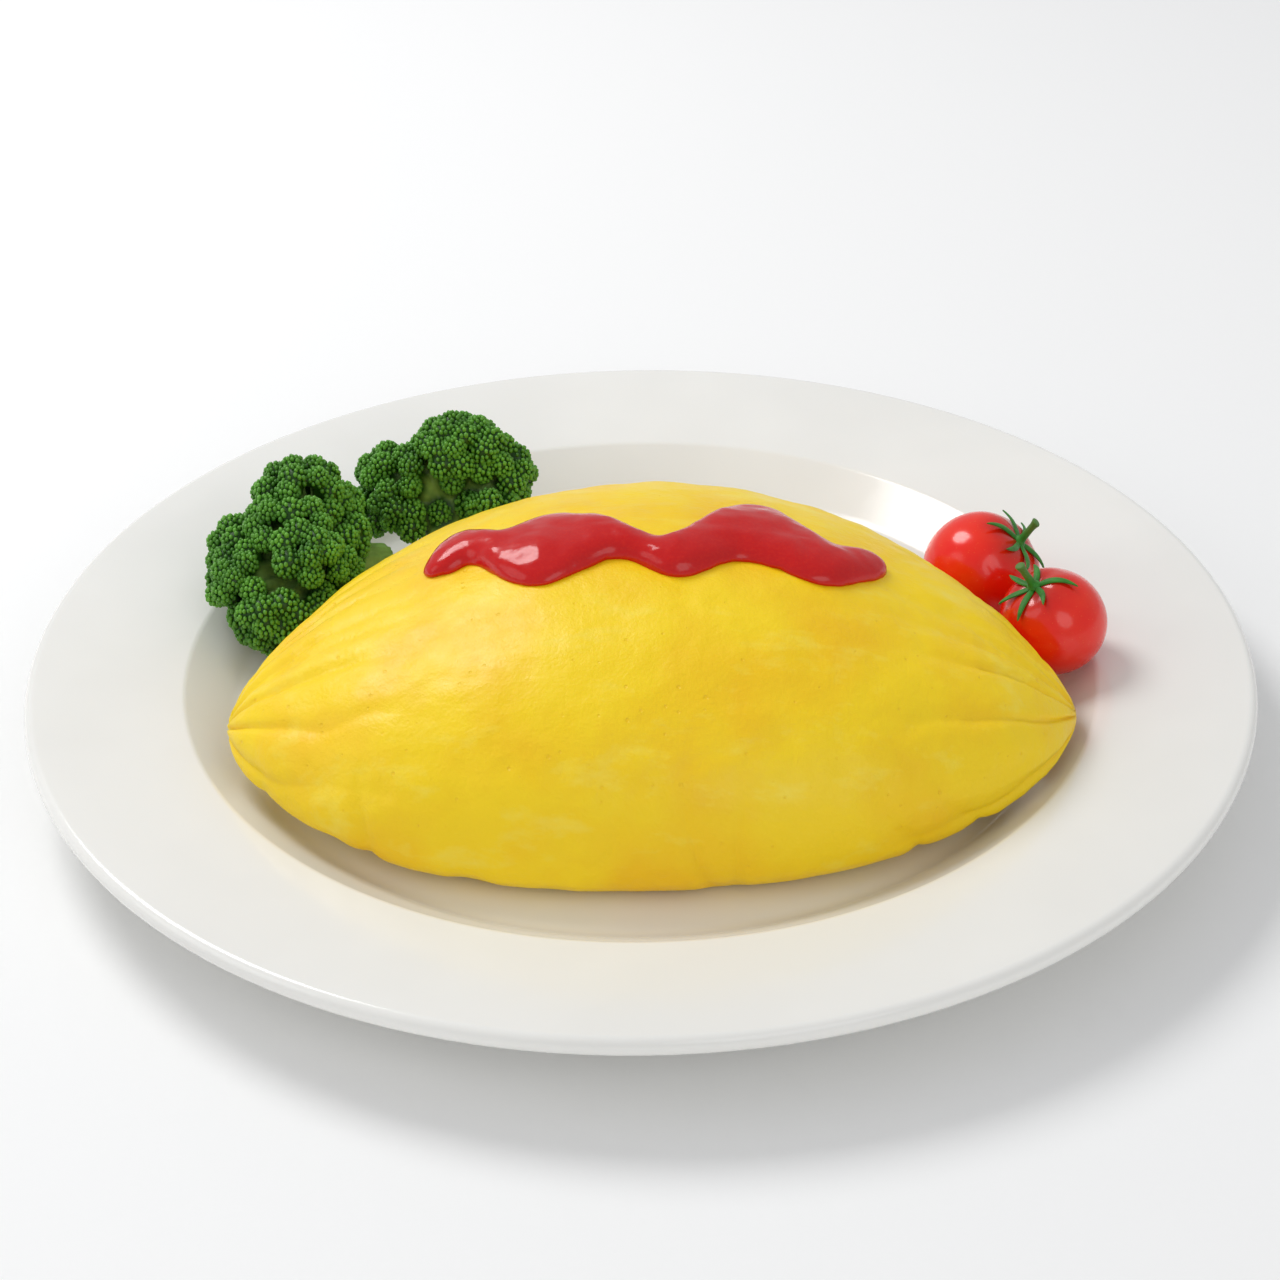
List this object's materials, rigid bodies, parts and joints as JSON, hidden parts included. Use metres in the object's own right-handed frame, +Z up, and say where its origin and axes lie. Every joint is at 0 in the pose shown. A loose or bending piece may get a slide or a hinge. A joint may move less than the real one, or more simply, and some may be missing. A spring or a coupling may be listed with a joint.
{
  "type": "omurice on a plate",
  "caption": "Leaf-shaped omelette over rice on a round rimmed plate, with a wavy band of ketchup along its crest, broccoli florets behind one end and small tomatoes behind the other.",
  "frame": {"origin": "centre of the foot ring, on the surface that the plate stands on", "axes": "+X along the omelette towards the tomatoes, +Y away from the diner towards the garnish, +Z up"},
  "size_m": [0.27, 0.27, 0.0621],
  "materials": {
    "plate": "gloss",
    "egg": "satin",
    "ketchup": "gloss",
    "broccoli": "matte",
    "tomato": "gloss",
    "calyx": "satin"
  },
  "bodies": {
    "root": {"plate": "plate", "omelette": "egg", "ketchup": "ketchup", "broccoli_left": "broccoli", "broccoli_right": "broccoli", "tomato_back": "tomato", "tomato_back_calyx": "calyx", "tomato_front": "tomato", "tomato_front_calyx": "calyx"}
  },
  "joints": []
}
